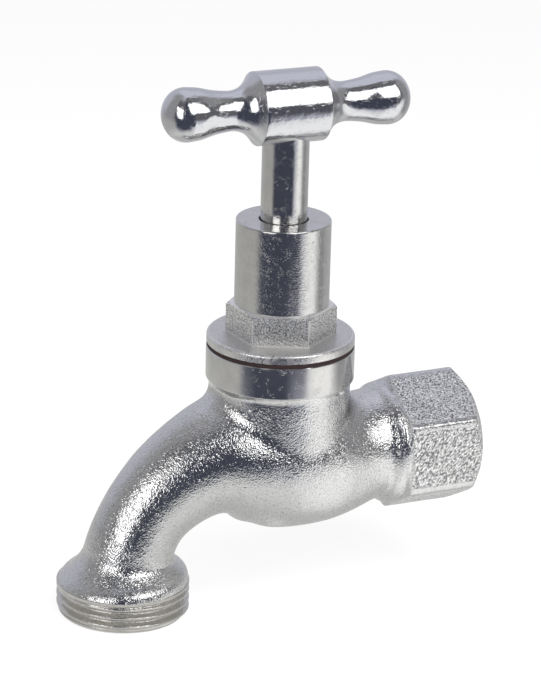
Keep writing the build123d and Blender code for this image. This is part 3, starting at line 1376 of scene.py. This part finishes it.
    def build(self) -> None:
        """Makes, places and dresses the bonnet and its washer."""
        axis_x = self.places.spindle.x
        worn_low, worn_high = self.hex_worn_ends
        worn = (self.flange_top + worn_low, self.hex_top - worn_high)
        bright = TurnedPlating(ripple=0.045 * MM, scratch=0.04 * MM)
        sandy = SandyPlating("sandy_plating", axis_x, self.hex_worn_r, worn)
        satin = SandyPlating(
            "satin_plating",
            axis_x,
            worn_r=self.flange_r - self.flange_worn,
            worn_heights=(0.0, 1.0),
            colour=(0.76, 0.75, 0.735),
            rough=(0.4, 0.13),
            sand=0.06 * MM,
            contrast=0.34,
        )
        fibre = PlainFinish("red_fibre", (0.02, 0.009, 0.009), rough=0.8)
        settle(self.barrel(), "fixed", "bonnet", bright.make())
        settle(self.flange(), "fixed", "bonnet", satin.make())
        settle(self.hexagon(), "fixed", "bonnet", sandy.make())
        settle(self.washer(), "fixed", "bonnet_washer", fibre.make())


@dataclass
class Head(SubAssembly):
    """Spindle, tee handle and set screw: what the hand turns."""

    spindle_r: float = 4.63 * MM
    spindle_edge: float = 0.3 * MM
    screw_r: float = 6.3 * MM
    screw_long: float = 14.5 * MM
    screw_edge: float = 0.6 * MM
    screw_run: float = 0.8 * MM
    socket_r: float = 3.2 * MM
    socket_deep: float = 13.0 * MM
    seal_groove_r: float = 3.45 * MM
    seal_groove_half: float = 0.8 * MM
    square: float = 6.5 * MM
    square_long: float = 7.4 * MM
    square_lap: float = 1.0 * MM
    handle_turn: float = -2.2
    handle_crease: float = 40.0
    boss_r: float = 7.25 * MM
    boss_half: float = 6.8 * MM
    boss_edge: float = 0.15 * MM
    boss_turn: Range = (15.0, 65.0)
    boss_steps: int = 10
    arm_end: float = 25.7 * MM
    bulb_x: float = 21.0 * MM
    bulb_r: float = 5.33 * MM
    bulb_end_r: float = 5.9 * MM
    set_screw_r: float = 2.05 * MM
    set_screw_end: float = 10.0 * MM
    set_screw_steps: int = 48
    seal_rings: tuple[str, ...] = ("seal_ring_lower", "seal_ring_upper")

    @property
    def turned(self) -> Matrix:
        """How far the handle and the square under it are turned."""
        return Matrix.Rotation(math.radians(self.handle_turn), 4, "Z")

    def spindle(self) -> Piece:
        """Turns the rising spindle, with its screw, seal grooves and square end.

        Returns:
            The spindle.
        """
        low, top = Places.bottom("spindle"), Places.top("spindle")
        round_top = top - self.square_long
        outline: Outline = [
            (0.0, low + self.socket_deep),
            (self.socket_r, low + self.socket_deep),
            (self.socket_r, low),
            (self.screw_r - self.screw_edge, low),
            (self.screw_r, low + self.screw_edge),
            (self.screw_r, low + self.screw_long - self.screw_run),
            (self.spindle_r + self.screw_run, low + self.screw_long),
            (self.spindle_r, low + self.screw_long),
        ]
        for ring in self.seal_rings:
            middle = (Places.bottom(ring) + Places.top(ring)) / 2
            ends = (middle - self.seal_groove_half, middle + self.seal_groove_half)
            outline += [(self.spindle_r, ends[0]), *((self.seal_groove_r, end) for end in ends)]
            outline.append((self.spindle_r, ends[1]))
        outline += [
            (self.spindle_r, round_top - self.spindle_edge),
            (self.spindle_r - self.spindle_edge, round_top),
            (0.0, round_top),
        ]
        piece = self.on_spindle("rising_spindle", outline)
        place = Matrix.Translation(self.places.spindle) @ self.turned
        bm = bmesh.new()
        bmesh.ops.create_cube(bm, size=1.0)
        for vert in bm.verts:
            height = top if vert.co.z > 0 else round_top - self.square_lap
            vert.co = place @ Vector((vert.co.x * self.square, vert.co.y * self.square, height))
        combine(piece, keep_mesh("square_end", bm), Cut.ADD)
        crisp(piece)
        return piece

    def handle(self) -> Piece:
        """Turns the tee handle from one bar, and drills the hole of its set screw.

        Returns:
            The handle.
        """
        height = (Places.bottom("tee_handle") + Places.top("tee_handle")) / 2
        centre = Matrix.Translation(self.places.spindle + Vector((0, 0, height))) @ self.turned
        half = self.boss() + self.arm()
        other = [(r, -x) for r, x in reversed(half)]
        outline = [(0.0, -self.arm_end)] + other + half + [(0.0, self.arm_end)]
        bm = bmesh.new()
        add_turned(bm, outline, centre @ Matrix.Rotation(math.radians(90.0), 4, "Y"), ROUND)
        handle = keep_mesh("turned_handle", bm, self.handle_crease)
        ends = (self.square / 2, self.set_screw_end)
        outline = [(0.0, ends[0]), *((self.set_screw_r, end) for end in ends), (0.0, ends[1])]
        hole = turned_piece("set_screw_hole", outline, Vector(), segments=self.set_screw_steps)
        hole.data.transform(centre @ Matrix.Rotation(math.radians(-90.0), 4, "X"))
        combine(handle, hole, Cut.TAKE_AWAY)
        crisp(handle, self.handle_crease)
        return handle

    def boss(self) -> Outline:
        """Draws half of the boss.

        Returns:
            Its outline, as (radius, distance from the middle).
        """
        steps = self.boss_steps
        flat = self.boss_half - self.boss_edge
        side = [(self.boss_r, flat * (k + 0.5) / (steps + 0.5)) for k in range(steps + 1)]
        edge = (self.boss_r - self.boss_edge, flat)
        return side + arc(edge, self.boss_edge, *self.boss_turn, steps=4)

    def arm(self) -> Outline:
        """Draws one arm: the bell beside the boss, the waist, the bulb and its round end.

        Returns:
            Its outline, as (radius, distance from the middle).
        """
        bell = smooth_run(
            [
                (7.1 * MM, 6.8 * MM),
                (6.1 * MM, 7.6 * MM),
                (5.25 * MM, 8.4 * MM),
                (4.53 * MM, 9.4 * MM),
                (4.08 * MM, 10.6 * MM),
                (3.93 * MM, 12.2 * MM),
                (4.33 * MM, 15.4 * MM),
                (5.06 * MM, 18.4 * MM),
                (self.bulb_r, self.bulb_x),
            ]
        )
        end_x = self.arm_end - self.bulb_end_r
        gap = self.bulb_x - end_x
        wider = self.bulb_end_r - self.bulb_r
        side_r = (self.bulb_end_r**2 - gap**2 - self.bulb_r**2) / 2 / wider
        join = math.degrees(math.atan2(self.bulb_r - side_r, gap))
        side = arc((self.bulb_x, self.bulb_r - side_r), side_r, 90, join)
        end = arc((end_x, 0.0), self.bulb_end_r, join, 0, steps=18)
        return bell + [(r, x) for x, r in side[1:] + end[1:-1]]

    def build(self) -> None:
        """Makes, places and dresses the turning head."""
        bright = TurnedPlating(
            "spindle_plating", rough=0.08, relief=0.004 * MM, ripple=0.028 * MM, scratch=0.02 * MM
        )
        steel = PlainFinish("dark_steel", (0.09, 0.09, 0.095), rough=0.4, metal=1.0)
        rubber = PlainFinish("seal_rubber", (0.02, 0.02, 0.02), rough=0.6).make()
        settle(self.spindle(), "head", "spindle", bright.make())
        settle(self.handle(), "head", "tee_handle", PolishedPlating().make())
        dress(self.places.nodes["set_screw"], steel.make())
        for ring in self.seal_rings:
            dress(self.places.nodes[ring], rubber)
        LOG.info("nodes set_screw, %s and %s dressed", *self.seal_rings)


@dataclass
class Valve(SubAssembly):
    """The loose valve under the spindle."""

    def build(self) -> None:
        """Dresses the valve's own nodes, which keep their shape."""
        brass = PlainFinish("plain_brass", (0.72, 0.52, 0.24), rough=0.28, metal=1.0).make()
        rubber = PlainFinish("valve_rubber", (0.022, 0.022, 0.022), rough=0.65).make()
        finishes = {"jumper_valve": brass, "valve_nut": brass, "valve_washer": rubber}
        for node, material in finishes.items():
            dress(self.places.nodes[node], material)
            LOG.info("node %s dressed", node)


# The studio


@dataclass(frozen=True)
class Panel:
    """One patch of light or dark that the metal mirrors.

    Attributes:
        name: what it is.
        sides: left and right edge, in degrees from the camera's direction.
        heights: lower and upper edge, in degrees above the horizon.
        glow: its brightness, where 1 is white.
        edge: width of its soft edge, in degrees.
        lean: how far its left edge moves left with each degree of height.
    """

    name: str
    sides: Range
    heights: Range
    glow: Colour
    edge: float
    lean: float = 0.0

    def cover(self, side: float, height: float) -> float:
        """How much of the panel shows in a direction.

        Args:
            side: the direction, in degrees right of the camera's.
            height: its height above the horizon, in degrees.

        Returns:
            A share from 0 to 1.
        """
        left = self.sides[0] - self.lean * (height - self.heights[0])
        middle = (left + self.sides[1]) / 2
        side = middle + (side - middle + 180.0) % 360.0 - 180.0
        beside = window(side, left, self.sides[1], self.edge)
        return beside * window(height, *self.heights, self.edge)


@dataclass(frozen=True)
class Table:
    """The table that the metal mirrors. Each window is two limits and the width of its edges.

    Attributes:
        grey: its colour near the tap.
        near: how far from the tap it has this colour, in metres.
        beside: share of the grey that it has to the left, the right and behind.
        front: the sides that are left out of that, in degrees.
        low: the heights that have it, in degrees.
        white: its colour where the light falls.
        lit_sides: the sides that are lit, in degrees.
        lit_ahead: how far ahead they are lit, in metres.
        lit_slant: how far that limit moves ahead with each metre across.
        lit_from: how far from the tap's foot the lit part starts, in metres.
        shadow: how dark it is under the tap.
        shadow_x: where the shadow lies along X, in metres.
        shadow_y: where the shadow lies along Y, in metres.
    """

    grey: Colour = (0.93, 0.93, 0.92)
    near: Window = (-FAR, 0.084, 0.07)
    beside: float = 0.75
    front: Window = (-60.0, 84.0, 12.0)
    low: Window = (-FAR, -24.0, 10.0)
    white: Colour = (1.25, 1.25, 1.24)
    lit_sides: Window = (42.0, 88.0, 28.0)
    lit_ahead: Window = (-FAR, 0.095, 0.03)
    lit_slant: float = 0.28
    lit_from: Window = (0.02, FAR, 0.02)
    shadow: float = 0.32
    shadow_x: Window = (-0.06, 0.08, 0.04)
    shadow_y: Window = (-0.02, 0.08, 0.04)

    def paint(self, glow: Vector, way: Vector, side: float, height: float) -> Vector:
        """Lays the table over what is already painted.

        Args:
            glow: the light that is already there.
            way: from the tap's middle to the place on the tent, in metres.
            side: the place's direction, in degrees right of the camera's.
            height: its height above the horizon, in degrees.

        Returns:
            The light with the table over it.
        """
        flat = math.hypot(way.x, way.y)
        ahead, across = flat * math.cos(math.radians(side)), flat * math.sin(math.radians(side))
        under = window(way.y, *self.shadow_y) * window(way.x, *self.shadow_x)
        grey = Vector(self.grey) * (1.0 - self.shadow * under)
        beside = (1.0 - window(side, *self.front)) * window(height, *self.low)
        lit = window(side, *self.lit_sides)
        lit *= window(ahead - self.lit_slant * across, *self.lit_ahead)
        glow = glow.lerp(grey * self.beside, beside)
        glow = glow.lerp(grey, window(flat, *self.near))
        return glow.lerp(Vector(self.white), lit * window(flat, *self.lit_from))


@dataclass(frozen=True)
class Lamp:
    """A soft rectangular light.

    Attributes:
        name: what it is.
        side: its direction, in degrees right of the camera's.
        height: its height above the horizon, in degrees.
        size: its two sides, in metres.
        power: its power, in watts.
    """

    name: str
    side: float
    height: float
    size: Range
    power: float


@dataclass
class Studio:
    """Camera, floor, soft lights and the tent that the metal mirrors.

    Angles are in degrees, lengths in metres. Azimuths turn from the camera's own
    direction, towards the right of the photograph.
    """

    azimuth: float = -24.81
    elevation: float = 19.822
    roll: float = 1.496
    eye: tuple[float, float, float] = (-0.31884, -0.59749, 0.26031)
    focal_px: float = 3528.0
    photo_long_px: float = 700.0
    sensor: float = 36.0
    clip: float = 0.01
    middle: tuple[float, float, float] = (-0.04, 0.0, 0.03)
    reach: float = 2.0
    sheet_up: float = 0.5 * MM
    sheet_from: float = 3.0 * MM
    sheet_share: float = 0.98
    sheet_rings: int = 124
    dome_rings: int = 90
    columns: int = 180
    floor_half: float = 3.0
    floor_gap: float = 0.1 * MM
    floor_colour: Colour = (0.93, 0.93, 0.93)
    floor_rough: float = 0.9
    floor_glow: float = 0.8
    soft_light: float = 0.6
    lamp_away: float = 0.5
    lamps: tuple[Lamp, ...] = (
        Lamp("key", 40.0, 45.0, (0.5, 0.4), 4.0),
        Lamp("fill", -60.0, 35.0, (0.5, 0.5), 2.0),
    )
    overhead: Colour = (0.76, 0.77, 0.88)
    table: Table = Table()
    panels: tuple[Panel, ...] = (
        Panel("room left", (-138.0, -40.0), (-30.0, 78.0), (0.38, 0.38, 0.39), 34.0),
        Panel("wall left", (-200.0, -62.0), (-95.0, -8.0), (0.54, 0.54, 0.525), 10.0),
        Panel("wall back", (118.0, 200.0), (-95.0, -2.0), (0.52, 0.52, 0.53), 12.0),
        Panel("low back", (112.0, 250.0), (-2.0, 40.0), (0.6, 0.61, 0.69), 20.0),
        Panel("wall right", (84.0, 118.0), (-30.0, -4.0), (0.36, 0.36, 0.37), 12.0),
        Panel("room right", (72.0, 132.0), (-8.0, 66.0), (0.36, 0.36, 0.37), 20.0),
        Panel("dark above", (-30.0, 112.0), (58.0, 90.0), (0.2, 0.2, 0.21), 14.0),
        Panel("dark surround", (-66.0, 84.0), (-8.0, 66.0), (0.17, 0.17, 0.185), 8.0),
        Panel("dark front", (-56.0, 44.0), (-23.0, 16.0), (0.072, 0.078, 0.112), 14.0),
        Panel("dark foot", (-46.0, 18.0), (-95.0, -12.0), (0.072, 0.078, 0.112), 26.0),
        Panel("dark middle", (-13.0, 14.0), (-20.0, 70.0), (0.075, 0.082, 0.115), 6.0),
        Panel("softbox left", (-46.0, -20.0), (0.0, 36.0), (2.4, 2.4, 2.4), 4.0, 0.42),
        Panel("softbox right", (28.0, 72.0), (17.0, 60.0), (2.4, 2.4, 2.4), 4.0, 0.5),
    )

    def towards(self, side: float, height: float) -> Vector:
        """A direction from the tap, by its angle right of the camera and above the horizon."""
        turn, tilt = math.radians(self.azimuth + side), math.radians(height)
        level = math.cos(tilt)
        return Vector((math.sin(turn) * level, -math.cos(turn) * level, math.sin(tilt)))

    def camera(self) -> None:
        """Stands the camera where the photograph was taken from."""
        data = bpy.data.cameras.new("photo_camera")
        data.sensor_width = self.sensor
        data.lens = self.focal_px * self.sensor / self.photo_long_px
        data.clip_start = self.clip
        camera = bpy.data.objects.new("photo_camera", data)
        back = self.towards(0.0, self.elevation)
        right = (-back).cross(Vector((0, 0, 1))).normalized()
        up = back.cross(right)
        lean = math.radians(self.roll)
        across = math.cos(lean) * right + math.sin(lean) * up
        upward = math.cos(lean) * up - math.sin(lean) * right
        stand = Matrix((across, upward, back)).transposed().to_4x4()
        camera.matrix_world = Matrix.Translation(Vector(self.eye)) @ stand
        bpy.context.scene.collection.objects.link(camera)
        bpy.context.scene.camera = camera

    def seen_glow(self, way: Vector) -> Colour:
        """How bright the tent is in one direction, where 1 is white.

        Args:
            way: from the tap's middle to the place on the tent.

        Returns:
            The light's colour.
        """
        side = math.degrees(math.atan2(way.x, -way.y)) - self.azimuth
        side = (side + 180.0) % 360.0 - 180.0
        height = math.degrees(math.atan2(way.z, math.hypot(way.x, way.y)))
        glow = Vector(self.overhead)
        for panel in self.panels:
            glow = glow.lerp(Vector(panel.glow), panel.cover(side, height))
        return tuple(self.table.paint(glow, way, side, height) if way.z < 0.0 else glow)

    def tent_mesh(self, floor: float) -> Piece:
        """Makes the tent, a dome over a flat sheet, with its light painted on it.

        Args:
            floor: height of the floor.

        Returns:
            The tent.
        """
        centre = Vector(self.middle)
        sheet_z = floor + self.sheet_up - centre.z
        rim = math.degrees(math.asin(sheet_z / self.reach))
        widen = (self.reach * self.sheet_share / self.sheet_from) ** (1 / self.sheet_rings)
        sheet = [(self.sheet_from * widen**k, sheet_z) for k in range(self.sheet_rings)]
        profile = sheet + arc((0.0, 0.0), self.reach, rim, 90.0, self.dome_rings)
        bm = bmesh.new()
        paint = bm.loops.layers.float_color.new("glow")
        columns = []
        for step in range(self.columns + 1):
            out = self.towards(360.0 / self.columns * step - 180.0, 0.0)
            column = [bm.verts.new(centre + (out * r + Vector((0.0, 0.0, z)))) for r, z in profile]
            columns.append(column)
        for left, right in zip(columns, columns[1:]):
            for j in range(len(left) - 1):
                face = bm.faces.new((left[j], right[j], right[j + 1], left[j + 1]))
                for loop in face.loops:
                    loop[paint] = (*self.seen_glow(loop.vert.co - centre), 1.0)
        return link_mesh("light_tent", bm)

    def tent(self, floor: float) -> None:
        """Puts up the painted tent, which the metal mirrors and the camera doesn't see.

        Args:
            floor: height of the floor.
        """
        tent = self.tent_mesh(floor)
        material = bpy.data.materials.new("tent_glow")
        material.use_nodes = True
        material.cycles.emission_sampling = "NONE"
        nodes, links = material.node_tree.nodes, material.node_tree.links
        nodes.remove(nodes["Principled BSDF"])
        glow = nodes.new("ShaderNodeVertexColor")
        glow.layer_name = "glow"
        lamp = nodes.new("ShaderNodeEmission")
        links.new(glow.outputs["Color"], lamp.inputs["Color"])
        links.new(lamp.outputs[0], nodes["Material Output"].inputs["Surface"])
        tent.data.materials.append(material)
        tent.visible_camera = False
        tent.visible_shadow = False
        tent.visible_diffuse = False
        tent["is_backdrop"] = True
        LOG.info("tent painted with %s", ", ".join(panel.name for panel in self.panels))

    def hang(self, lamp: Lamp) -> None:
        """Hangs a lamp that faces the tap and that the metal doesn't mirror.

        Args:
            lamp: the lamp.
        """
        data = bpy.data.lights.new(lamp.name, "AREA")
        data.shape = "RECTANGLE"
        data.size, data.size_y = lamp.size
        data.energy = lamp.power
        light = bpy.data.objects.new(lamp.name, data)
        way = self.towards(lamp.side, lamp.height)
        light.location = Vector(self.middle) + way * self.lamp_away
        light.rotation_euler = way.to_track_quat("Z", "Y").to_euler()
        light.visible_glossy = False
        bpy.context.scene.collection.objects.link(light)

    @staticmethod
    def seen(nodes: bpy.types.Nodes, links: bpy.types.NodeLinks) -> Socket:
        """1 for rays that show the background: from the camera, a mirror or glass.

        Args:
            nodes: the nodes of the material or world.
            links: its links.

        Returns:
            The mask's socket.
        """
        path = nodes.new("ShaderNodeLightPath")
        mask = path.outputs["Is Camera Ray"]
        for ray in ("Is Glossy Ray", "Is Transmission Ray"):
            either = nodes.new("ShaderNodeMath")
            either.operation = Maths.MAXIMUM.value
            links.new(mask, either.inputs[0])
            links.new(path.outputs[ray], either.inputs[1])
            mask = either.outputs[0]
        return mask

    def floor(self, level: float) -> None:
        """Lays a pale floor at the tap's lowest point, white to the eye and to mirrors.

        Args:
            level: height of the tap's lowest point.
        """
        bm = bmesh.new()
        bmesh.ops.create_grid(bm, x_segments=1, y_segments=1, size=self.floor_half)
        bmesh.ops.translate(bm, verts=bm.verts, vec=Vector((0, 0, level - self.floor_gap)))
        floor = keep_mesh("floor", bm)
        shader = Shader("floor_white")
        shader.finish(self.floor_colour, self.floor_rough, metal=0.0)
        glow = shader.nodes.new("ShaderNodeEmission")
        mix = shader.nodes.new("ShaderNodeMixShader")
        seen = self.seen(shader.nodes, shader.links)
        shader.links.new(shader.times(seen, self.floor_glow), mix.inputs[0])
        shader.links.new(shader.surface.outputs[0], mix.inputs[1])
        shader.links.new(glow.outputs[0], mix.inputs[2])
        shader.links.new(mix.outputs[0], shader.nodes["Material Output"].inputs["Surface"])
        floor.data.materials.append(shader.material)
        floor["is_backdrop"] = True

    def world(self) -> None:
        """Makes a surround that is white to the eye and to mirrors, with a soft light from it."""
        world = bpy.data.worlds.new("studio")
        bpy.context.scene.world = world
        world.use_nodes = True
        nodes, links = world.node_tree.nodes, world.node_tree.links
        mix = nodes.new("ShaderNodeMixShader")
        soft, white = nodes["Background"], nodes.new("ShaderNodeBackground")
        for light in (soft, white):
            light.inputs["Color"].default_value = (1, 1, 1, 1)
        soft.inputs["Strength"].default_value = self.soft_light
        links.new(self.seen(nodes, links), mix.inputs[0])
        links.new(soft.outputs[0], mix.inputs[1])
        links.new(white.outputs[0], mix.inputs[2])
        links.new(mix.outputs[0], nodes["World Output"].inputs["Surface"])

    def build(self, low: float) -> None:
        """Sets up the whole studio round the tap.

        Args:
            low: height of the tap's lowest point.
        """
        bpy.context.scene.view_settings.view_transform = "Standard"
        self.camera()
        self.world()
        self.floor(low)
        self.tent(low)
        for lamp in self.lamps:
            self.hang(lamp)
        LOG.info("studio ready")


def main() -> None:
    """Builds the tap's looks in order and reports each piece."""
    logging.basicConfig(level=logging.INFO, format="%(name)s: %(message)s")
    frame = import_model()
    cad_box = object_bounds()
    places = Places(frame["nodes"])
    for part in (CastBody, Bonnet, Head, Valve):
        part(places).build()
    Studio().build(cad_box[0][2])


if __name__ == "__main__":
    main()
